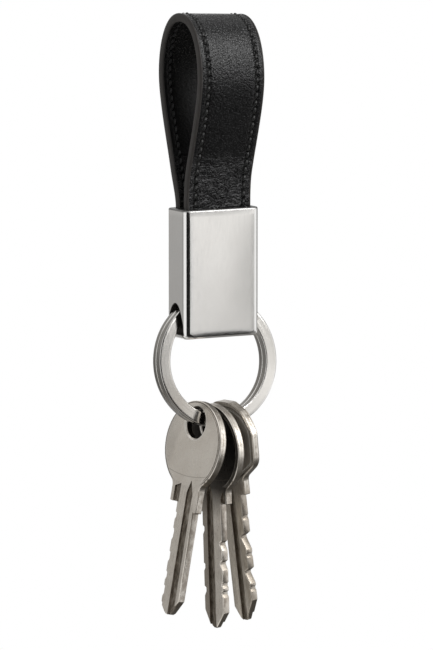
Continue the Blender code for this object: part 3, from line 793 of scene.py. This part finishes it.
def block_body():
    """The block's outside: a rounded bar with rounded rims and slightly crowned faces."""
    half_width, half_depth, half_height = BLOCK_WIDTH / 2, BLOCK_DEPTH / 2, BLOCK_HEIGHT / 2
    rim, top_rim, corner, crown, side_reach = 0.8, 0.4, 1.6, 0.12, 1.4
    curve = [(1 - math.sin(a), 1 - math.cos(a)) for a in np.linspace(0, math.pi / 2, 7)]
    levels = [(rim * inset, BLOCK_BOTTOM + rim * rise) for inset, rise in curve]
    straight = np.linspace(BLOCK_BOTTOM + rim, BLOCK_TOP - top_rim, 21)[1:-1]
    levels += [(0, z) for z in straight]
    levels += [(top_rim * inset, BLOCK_TOP - top_rim * rise) for inset, rise in curve[::-1]]
    points = []
    for inset, z in levels:
        bulge = crown * (1 - ((z - BLOCK_MIDDLE) / half_height) ** 2)
        rise = z - BLOCK_BOTTOM
        half_sizes = half_width - inset, half_depth - inset
        for x, y in rounded_outline(*half_sizes, corner - inset, 10, 16):
            if rise <= rim + 0.01:
                past = abs(x) - half_width + corner
                near_side = np.clip(past / side_reach + 1, 0, 1)
                z = BLOCK_BOTTOM + rise * (1 + 0.9 * near_side**2)
            flat = max(0.0, 1 - (x / (half_width - corner)) ** 2)
            lift = bulge * flat * (abs(y) > half_depth - corner)
            points.append((x, y + math.copysign(lift, y), z))
    count = len(points) // len(levels)
    return outward(add_mesh("block_shell", points, sweep_faces(len(levels), count)))


def cutter(name, points, faces, material):
    """A closed shape that is cut out of the block and leaves its material there."""
    item = outward(add_mesh(name, points, faces))
    item.data.materials.append(material)
    return item


def tunnel_cutter(material):
    """The arched channel for the ring, turned about the ring's axis."""
    floor_rise, steps = 0.35, 96
    foot = RING_MEAN - WIRE_WIDTH / 2 - 0.3 - floor_rise
    top = RING_MEAN + WIRE_WIDTH / 2 + 1.5
    profile = []
    for a in np.linspace(-math.pi / 2, math.pi / 2, 17):
        radius = foot + (top - foot) * math.cos(a)
        profile.append((radius, TUNNEL_HALF_DEPTH * math.sin(a)))
    for share in (0.5, 0.0, -0.5):
        profile.append((foot + floor_rise * (1 - share**2), TUNNEL_HALF_DEPTH * share))
    points = []
    for a in full_turn(steps):
        for radius, y in profile:
            points.append((radius * math.cos(a), y, RING_AXIS + radius * math.sin(a)))
    faces = sweep_faces(steps, len(profile), looped=True)
    return cutter("tunnel_cutter", points, faces, material)


def mouth_cutter(side, material):
    """The bell mouth in a side face, with a slightly softened edge."""
    half, steps = BLOCK_WIDTH / 2, 33
    stations = ((half - 0.9, 0.0), (half - 0.1, 0.0), (half + 0.02, 0.07), (half + 2.0, 0.08))
    sill = math.asin(MOUTH_SILL / MOUTH_RISE)
    points = []
    for x, grow in stations:
        for a in np.linspace(sill, math.pi - sill, steps):
            y = (MOUTH_HALF_DEPTH + grow) * math.cos(a)
            z = BLOCK_BOTTOM + (MOUTH_RISE + grow) * math.sin(a)
            points.append((side * x, y, z))
    faces = sweep_faces(len(stations), steps)
    return cutter(f"mouth_cutter_{side}", points, faces, material)


def box_cutter(name, low, high, material):
    xs, ys, zs = zip(low, high)
    points = [(x, y, z) for x in xs for y in ys for z in zs]
    faces = [(0, 1, 3, 2), (4, 6, 7, 5), (0, 4, 5, 1), (2, 3, 7, 6), (0, 2, 6, 4), (1, 5, 7, 3)]
    return cutter(name, points, faces, material)


def pin_hole_cutter(side, material):
    """The hole in the back face that a pin is driven in through."""
    steps = 40
    points = []
    for y in (0.0, BLOCK_DEPTH):
        for a in full_turn(steps):
            x = side * PIN_ACROSS + PIN_HOLE_RADIUS * math.cos(a)
            points.append((x, y, BLOCK_TOP - PIN_DROP + PIN_HOLE_RADIUS * math.sin(a)))
    return cutter(f"pin_hole_cutter_{side}", points, sweep_faces(2, steps), material)


def carved(item, cutters):
    """Applies the cuts and removes the cutters."""
    for other in cutters:
        cut = item.modifiers.new(other.name, "BOOLEAN")
        cut.operation = "DIFFERENCE"
        cut.solver = "EXACT"
        cut.material_mode = "TRANSFER"
        cut.object = other
    graph = bpy.context.evaluated_depsgraph_get()
    mesh = bpy.data.meshes.new_from_object(item.evaluated_get(graph))
    item.modifiers.clear()
    item.data = mesh
    for other in cutters:
        bpy.data.objects.remove(other, do_unlink=True)
    mesh.shade_smooth()
    mesh.set_sharp_from_angle(angle=math.radians(32))


def metal_material(name, colour, dull, roughness, dent_mm, shade_rim_above=None):
    """Plated metal: faint dents, fine rubbing marks and, above a given height, a rougher rim
    painted dark as painted shade.
    """
    made, tree, shader = new_material(name)
    place = object_mm(tree)
    cloud = noise(tree, place, 0.16, 3.0)
    rub = noise(tree, stretched(tree, place, 1.0, 1.0, 0.12), 3.2, 4.0, 0.65)
    specks = noise(tree, place, 2.4, 2.0)
    tone = graded(tree, cloud, 0.3, 0.75, colour, dull)
    tone = overlaid(tree, tone, dull, ramp(tree, specks, (0.68, 0.0), (0.8, 0.35)))
    rough = map_range(tree, rub, 0.3, 0.7, roughness * 0.8, roughness * 1.25)
    if shade_rim_above is not None:
        # Painted shade: the rim above that height is painted dark, and it is also rougher
        rim = map_range(tree, axes_of(tree, place)[2], shade_rim_above, shade_rim_above + 0.25)
        tone = overlaid(tree, tone, (0.17, 0.168, 0.165), rim)
        rough = weighted(tree, (rough, 1.0), (rim, 0.3))
    finish(tree, shader, tone, rough, 1.0)
    first = bump(tree, shader, cloud, dent_mm, 0.6)
    bump(tree, shader, rub, 0.0012, 0.5, first)
    return made


def shaded_inside_material():
    """The unpolished inside of the casting, painted dark as the shade in the pocket, the tunnel
    and the mouths.
    """
    made, tree, shader = new_material("block_inside_shade")
    grit = noise(tree, object_mm(tree), 1.5, 4.0)
    # Painted shade: the cut faces in the pocket, tunnel and mouths are nearly black
    colour = ramp(tree, grit, (0.3, (0.035, 0.03, 0.025)), (0.8, (0.12, 0.11, 0.1)))
    finish(tree, shader, colour, 0.6, 0.6)
    bump(tree, shader, grit, 0.04, 0.8)
    return made


def block():
    colours = (0.82, 0.812, 0.8), (0.79, 0.78, 0.767)
    # The block's rim in its top half millimetre is painted dark as painted shade
    satin = metal_material("satin_block", *colours, 0.13, 0.004, BLOCK_TOP - 0.5)
    inside = shaded_inside_material()
    item = block_body()
    item.data.materials.append(satin)
    half, depth = STRAP_WIDTH / 2 + POCKET_GAP, LEG_OUTER + POCKET_GAP
    low, high = (-half, -depth, POCKET_FLOOR), (half, depth, BLOCK_TOP + 2.0)
    cutters = [box_cutter("pocket_cutter", low, high, inside), tunnel_cutter(inside)]
    for side in (-1, 1):
        cutters.append(mouth_cutter(side, inside))
        cutters.append(pin_hole_cutter(side, inside))
    carved(item, cutters)
    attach(item, "fob")
    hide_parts("metal_block")


# Ring
def ring_wire():
    """Two turns of flat wire with softened corners and a jog between them at the top."""
    first = (math.pi + RING_JOG) / 2
    count = 420
    run = np.linspace(0, 4 * math.pi - RING_JOG, count + 1)
    share = np.clip((run - (2 * math.pi - RING_JOG)) / RING_JOG, 0, 1)
    forward = (WIRE_THICKNESS + TURN_GAP) * (share**2 * (3 - 2 * share) - 0.5)
    across, along, radius, dish = WIRE_WIDTH / 2, WIRE_THICKNESS / 2, 0.34, 0.05
    outline = rounded_outline(across, along, radius, 5, 6)
    girth = np.linspace(0, 2 * (WIRE_WIDTH + WIRE_THICKNESS), len(outline), endpoint=False)
    points = []
    for angle, ahead in zip(first + run, forward):
        out = np.array((math.cos(angle), 0, math.sin(angle)))
        for x, y in outline:
            level = ahead + y + math.copysign(dish * (x / across - 1) * abs(y) / along, y)
            points.append(out * (RING_MEAN + x) + np.array((0, -level, 0)))
    uvs = [(g, angle * RING_MEAN / 2) for angle in run for g in girth]
    matrix = Matrix.Translation(RING_CENTRE * MM) @ Matrix.Rotation(RING_TILT, 4, "X")
    item = add_mesh("ring_wire", points, sweep_faces(count + 1, len(outline)), uvs, matrix)
    outer = [abs(x) > across - radius / 3 for x, _ in outline]
    shaded_sides = [a and b for a, b in zip(outer, outer[1:] + outer[:1])]
    for polygon in item.data.polygons:
        if polygon.index < count * len(outline):
            polygon.material_index = int(shaded_sides[polygon.index % len(outline)])
    return outward(item)


def ring_material(name, light, dull, grime, roughness, lower_right_painted_light):
    """Nickel plated spring wire: drawing marks along it, a tumbled polish, painted shade towards
    the left that is strongest at the bottom, and painted light at the lower right in a given
    colour.
    """
    made, tree, shader = new_material(name)
    place = uv_mm(tree)
    streak = streaks(tree, place, (3.0, 0.08, 1.0), 3.0, 0.6)
    cloud = streaks(tree, place, (0.4, 0.12, 1.0), 2.0)
    specks = streaks(tree, place, (2.0, 1.2, 1.0), 3.0, 0.6)
    tone = graded(tree, cloud, 0.3, 0.7, light, dull)
    tone = overlaid(tree, tone, grime, ramp(tree, streak, (0.58, 0.0), (0.8, 0.6)))
    tone = overlaid(tree, tone, grime, ramp(tree, specks, (0.66, 0.0), (0.78, 0.3)))
    # Painted shade: darker towards the left, most at the bottom. Painted light: the lower right
    # takes the given colour
    axes = axes_of(tree, object_mm(tree))
    left = map_range(tree, axes[0], -1.0, -11.0)
    right = map_range(tree, axes[0], 2.0, 9.0)
    low = map_range(tree, axes[2], -1.0, -9.0)
    tone = overlaid(tree, tone, grime, left, map_range(tree, low, 0.0, 1.0, 0.12, 0.8))
    tone = overlaid(tree, tone, lower_right_painted_light, right, low)
    rough = map_range(tree, streak, 0.3, 0.7, roughness * 0.8, roughness * 1.3)
    finish(tree, shader, tone, rough, 1.0)
    first = bump(tree, shader, cloud, 0.05, 0.5)
    bump(tree, shader, streak, 0.002, 0.5, first)
    return made


def ring():
    """The wire's flat faces are polished, and its inner and outer sides are rougher and painted
    darker as painted shade.
    """
    bright = (0.72, 0.705, 0.68), (0.66, 0.645, 0.62), (0.46, 0.43, 0.39)
    dark = (0.37, 0.36, 0.342), (0.22, 0.21, 0.195), (0.07, 0.063, 0.055)
    wire = ring_wire()
    # The faces' lower right is painted lighter as painted highlight, the sides' lower right
    # darker as painted shade
    faces = ring_material("ring_nickel", *bright, 0.14, (0.83, 0.812, 0.784))
    # Painted shade: the sides are a darker copy of the faces' nickel
    shaded_sides = ring_material("ring_side_shade", *dark, 0.24, (0.17, 0.158, 0.14))
    dressed(wire, "ring", "ring_nickel", faces, "split_ring")
    wire.data.materials.append(shaded_sides)


# Keys
def ring_point(angle, radius):
    """A place in the ring's plane, from the angle off its lowest point."""
    pose = Matrix.Translation(RING_CENTRE) @ Matrix.Rotation(RING_TILT, 4, "X")
    return pose @ Vector((radius * math.sin(angle), 0, -radius * math.cos(angle)))


def key_matrix(name):
    """The key's own frame: x across the blade, y up the key and z out of its face."""
    angle, lean = KEY_PLACES[name]
    hole = ring_point(angle, RING_MEAN + KEY_HANG)
    facing = Matrix.Rotation(lean, 4, "Y") @ Matrix.Rotation(KEY_YAW - math.pi / 2, 4, "Z")
    to_bow = Matrix.Translation((0, -KEY_HOLE_RISE, 0))
    return Matrix.Translation(hole) @ facing @ FACING_FRONT @ to_bow


def from_point(tree, own, y):
    """The distance across the key's face from a point on its middle line."""
    away = vector_node(tree, "SUBTRACT", own, (0, y, 0))[0]
    return vector_node(tree, "LENGTH", stretched(tree, away, 1.0, 1.0, 0.0))["Value"]


def bow_inset(tree, own, axes, squared):
    """The distance in from the bow's edge."""
    if not squared:
        return math_node(tree, "SUBTRACT", BOW_RADIUS, from_point(tree, own, 0.0))
    nearest = None
    across = math_node(tree, "ABSOLUTE", axes[0])
    for (x1, y1), (x2, y2) in zip(SQUARE_BOW, SQUARE_BOW[1:]):
        length = math.hypot(x2 - x1, y2 - y1)
        nx, ny = (y1 - y2) / length, (x2 - x1) / length
        out = weighted(tree, (across, nx), (axes[1], ny))
        inset = math_node(tree, "SUBTRACT", nx * x1 + ny * y1, out)
        nearest = inset if nearest is None else math_node(tree, "SMOOTH_MIN", nearest, inset, 1.2)
    return nearest


def key_zones(tree, own, squared):
    """Distances on the key in millimetres, and shares that are 1 inside each of its areas."""
    axes = axes_of(tree, own)
    facing = axes_of(tree, node(tree, "TexCoord").outputs["Normal"])
    side = map_range(tree, math_node(tree, "ABSOLUTE", facing[2]), 0.35, 0.6, 1.0, 0.0)
    bow = map_range(tree, axes[1], -11.5, -9.0)
    from_hole = from_point(tree, own, KEY_HOLE_RISE)
    inset = bow_inset(tree, own, axes, squared)
    return SimpleNamespace(
        across=axes[0],
        above=map_range(tree, axes[1], SHADE_ABOVE, SHADE_ABOVE + 8.0),
        out=facing[2],
        side=side,
        face=rest_of(tree, side),
        bow=bow,
        blade=rest_of(tree, bow),
        slope=map_range(tree, math_node(tree, "ABSOLUTE", facing[1]), 0.25, 0.6),
        shaded_under=map_range(tree, facing[1], -0.1, -0.55),
        upper=map_range(tree, facing[1], 0.35, 0.85, 0.0, 0.6),
        from_hole=from_hole,
        shaded_bore=map_range(tree, from_hole, 4.05, 4.15, 1.0, 0.0),
        inset=inset,
        inside=map_range(tree, inset, 0.2, 1.0),
        disc=map_range(tree, axes[1], -9.4, -8.6),
        foot=math_node(tree, "SUBTRACT", FOOT_RADIUS, from_point(tree, own, FOOT_CENTRE)),
        level=math_node(tree, "ABSOLUTE", axes[2]),
    )


def side_tone(tree, tone, zone, dents, edge_shade, slope_shade):
    """The blade's cut edges, the bow's edge and the hole's wall, with painted shade and highlight
    lines on them.
    """
    speck = ramp(tree, dents, (0.4, 0.8), (0.6, 0.0))
    tone = overlaid(tree, tone, (0.36, 0.31, 0.26), speck, zone.side, zone.blade)
    # Painted shade on the blade's cut edges and, in the given colour, on their slopes
    tone = overlaid(tree, tone, (0.3, 0.265, 0.22), zone.side, zone.blade, edge_shade)
    tone = overlaid(tree, tone, slope_shade, zone.slope, zone.side, zone.blade)
    rim = graded(tree, dents, 0.35, 0.65, (0.4, 0.36, 0.31), (0.78, 0.735, 0.665))
    # Painted shade at the bow edge's corners, and a painted highlight line just inside them
    corner = map_range(tree, zone.level, 0.5, 0.62)
    rim = overlaid(tree, rim, (0.3, 0.265, 0.22), corner, 0.6)
    rim = overlaid(tree, rim, (0.92, 0.89, 0.84), band(tree, zone.level, 0.47, 0.06), 0.7)
    tone = overlaid(tree, tone, rim, zone.side, zone.bow)
    # Painted shade on the sides that face down and, weaker, on those that face up
    tone = overlaid(tree, tone, (0.16, 0.14, 0.115), zone.side, zone.shaded_under)
    tone = overlaid(tree, tone, (0.24, 0.21, 0.175), zone.side, zone.upper)
    # Painted shade: the hole's wall is nearly black
    return overlaid(tree, tone, (0.035, 0.03, 0.025), zone.side, zone.shaded_bore)


def between_keys_shade(tree, tone, zone, shaded_faces):
    """Painted shade where another key covers this one, and how metallic the key stays there."""
    metallic = 1.0
    lift = math_node(tree, "MAXIMUM", zone.inside, rest_of(tree, zone.disc))
    lift = map_range(tree, lift, 0.0, 1.0, 0.4, 1.0)
    for sign, share in shaded_faces:
        # Painted shade on the faces turned towards a neighbouring key, weaker near the bow's edge
        key_shade = map_range(tree, product(tree, zone.out, float(sign)), 0.6, 0.8, 0.0, share)
        heavy = share > HEAVY_SHADE
        dark = (0.03, 0.026, 0.022) if heavy else (0.2, 0.165, 0.128)
        tone = overlaid(tree, tone, dark, key_shade, zone.above, lift)
        if not heavy:
            metallic = rest_of(tree, product(tree, key_shade, zone.above))
    return tone, metallic


def lined_tone(tree, tone, zone):
    """Painted shade and highlight lines: dark round the bow's pad with a bright one inside it,
    dark above its foot and bright round the hole.
    """
    pad_line = band(tree, zone.inset, PAD_LINE, 0.1)
    pad_glint = band(tree, zone.inset, PAD_LINE + 0.65, 0.09)
    foot_line = band(tree, zone.foot, 0.8, 0.07)
    hole_glint = band(tree, zone.from_hole, 4.3, 0.12)
    # Painted shade lines and painted highlight lines over the face
    tone = overlaid(tree, tone, (0.05, 0.042, 0.035), pad_line, zone.face, zone.disc, 0.75)
    tone = overlaid(tree, tone, (0.86, 0.83, 0.78), pad_glint, zone.face, zone.disc, 0.5)
    tone = overlaid(tree, tone, (0.2, 0.18, 0.15), foot_line, zone.inside, zone.face, 0.4)
    return overlaid(tree, tone, (0.9, 0.87, 0.82), hole_glint, zone.face, 0.8)


def key_material(name, seed):
    """Worn nickel: rubbed faces, dull bow edges, painted shade and highlight lines, and dark
    brown painted shade where another key covers this one.
    """
    made, tree, shader = new_material(name + "_nickel")
    own = object_mm(tree)
    zone = key_zones(tree, own, name == "key_rear")
    place = vector_node(tree, "ADD", own, (seed, seed, 0))[0]
    cloud = noise(tree, place, 0.2, 4.0, 0.6)
    scratch = streaks(tree, place, (5.0, 0.5, 1.0), 4.0, 0.7)
    streak = streaks(tree, place, (3.2, 0.3, 1.0), 4.0, 0.75)
    pits = noise(tree, place, 1.8, 4.0, 0.7)
    dents = streaks(tree, place, (0.7, 0.45, 0.7), 3.0, 0.6)

    tone = graded(tree, cloud, 0.3, 0.7, (0.72, 0.67, 0.605), (0.81, 0.765, 0.7))
    tone = overlaid(tree, tone, (0.38, 0.34, 0.29), ramp(tree, pits, (0.58, 0.0), (0.74, 0.5)))
    worn_lines = ramp(tree, streak, (0.5, 0.0), (0.66, 0.6))
    tone = overlaid(tree, tone, (0.4, 0.355, 0.295), worn_lines, zone.face, zone.blade)
    if name == "key_rear":
        # The rear key's face takes a streaked brown tone, its own colour, darkened all over as
        # painted shade behind the other keys
        brown = graded(tree, streak, 0.36, 0.66, (0.27, 0.235, 0.19), (0.62, 0.575, 0.505))
        tone = overlaid(tree, tone, brown, zone.face, 0.9)
    if name == "key_middle":
        # Painted shade along the left strip of the middle key's blade
        shaded_strip = map_range(tree, zone.across, -2.7, -2.2, 0.7, 0.0)
        tone = overlaid(tree, tone, (0.24, 0.205, 0.165), shaded_strip, zone.blade)
    tone = side_tone(tree, tone, zone, dents, *KEY_EDGE_SHADE[name])
    tone, metallic = between_keys_shade(tree, tone, zone, KEY_FACTS[name][2])
    tone = lined_tone(tree, tone, zone)
    rough = map_range(tree, scratch, 0.3, 0.7, 0.24, 0.4)
    finish(tree, shader, tone, rough, metallic)
    first = bump(tree, shader, cloud, 0.05, 0.6)
    first = bump(tree, shader, zone.inside, 0.04, 1.0, first)
    bump(tree, shader, scratch, 0.006, 0.7, first)
    return made


def key_edge_material():
    """The eased edges of the keys, rubbed bright with dull spots."""
    made, tree, shader = new_material("key_edge")
    worn = noise(tree, object_mm(tree), 1.3, 4.0, 0.65)
    tone = ramp(tree, worn, (0.36, (0.36, 0.32, 0.275)), (0.62, (0.85, 0.82, 0.77)))
    finish(tree, shader, tone, 0.46, 1.0)
    bump(tree, shader, worn, 0.02, 0.6)
    return made


def groove_material(name, dark, middle, light):
    """Grime in the milled grooves over dull nickel."""
    made, tree, shader = new_material(name)
    dirt = streaks(tree, object_mm(tree), (1.5, 0.35, 1.0), 4.0, 0.7)
    colour = ramp(tree, dirt, (0.35, dark), (0.55, middle), (0.75, light))
    rough = map_range(tree, dirt, 0.0, 1.0, 0.55, 0.3)
    finish(tree, shader, colour, rough, 0.85)
    bump(tree, shader, dirt, 0.03, 0.7)
    return made


def grimy(face, cut_side, stop):
    """True for groove floors, except the edge groove's below the stop, and for pad steps."""
    middle = face.calc_center_median() / MM
    level, across, flat = abs(middle.z), middle.x * cut_side, abs(face.normal.z)
    if flat > 0.5 and level < 0.9 and middle.y < -7.5:
        return middle.z < 0 or across < 1.8 or middle.y > -stop
    return flat < 0.5 and level > 1.02


def key(name, seed, grime, edge):
    """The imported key's shape with its edges eased, in the key's own frame."""
    matrix = key_matrix(name)
    own = Matrix.Translation(matrix.translation * MM) @ matrix.to_3x3().to_4x4()
    shape = bmesh.new()
    shape.from_mesh(NODES[name].data)
    bmesh.ops.transform(shape, matrix=own.inverted(), verts=shape.verts)
    bmesh.ops.remove_doubles(shape, verts=shape.verts, dist=0.002 * MM)
    cut_side, stop, _ = KEY_FACTS[name]
    bmesh.ops.bisect_plane(
        shape,
        geom=shape.verts[:] + shape.edges[:] + shape.faces[:],
        plane_co=(0, -stop * MM, 0),
        plane_no=(0, 1, 0),
    )
    for face in shape.faces:
        face.material_index = int(grimy(face, cut_side, stop))
    bmesh.ops.dissolve_limit(
        shape,
        angle_limit=math.radians(0.6),
        verts=shape.verts,
        edges=shape.edges,
        delimit={"MATERIAL"},
    )
    bmesh.ops.recalc_face_normals(shape, faces=shape.faces)
    mesh = bpy.data.meshes.new(name + "_worn")
    shape.to_mesh(mesh)
    shape.free()
    mesh.shade_smooth()
    mesh.set_sharp_from_angle(angle=math.radians(30))
    item = linked(name + "_worn", mesh)
    item.matrix_world = own
    for material in (key_material(name, seed), grime, edge):
        item.data.materials.append(material)
    ease = item.modifiers.new("ease", "BEVEL")
    ease.width = 0.18 * MM
    ease.material = 2
    ease.segments = 2
    ease.limit_method = "ANGLE"
    ease.angle_limit = math.radians(28)
    ease.harden_normals = True
    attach(item, name)
    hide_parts(name)


def keys():
    black = (0.08, 0.066, 0.05), (0.25, 0.22, 0.183), (0.5, 0.46, 0.41)
    brown = (0.13, 0.11, 0.085), (0.3, 0.265, 0.22), (0.5, 0.46, 0.4)
    deep = groove_material("groove_grime", *black)
    dusty = groove_material("brown_grime", *brown)
    edge = key_edge_material()
    for seed, name in enumerate(KEY_PLACES):
        key(name, 17.0 * seed, dusty if name == "key_rear" else deep, edge)


def hidden_parts():
    """The filler and the pins keep their solids and get finished materials."""
    steel = metal_material("pin_steel_finish", (0.7, 0.7, 0.69), (0.55, 0.54, 0.53), 0.3, 0.01)
    for name in ("strap_pin_left", "strap_pin_right"):
        NODES[name].material_slots[0].material = steel
    board_colours = (0.05, 0.045, 0.04), (0.09, 0.08, 0.07)
    board = leather_material("filler_board_finish", *board_colours, 0.7, 0.3, 0.8)
    NODES["strap_filler"].material_slots[0].material = board


camera()
bpy.context.scene.view_settings.view_transform = "Standard"
studio()
strap()
block()
ring()
keys()
hidden_parts()
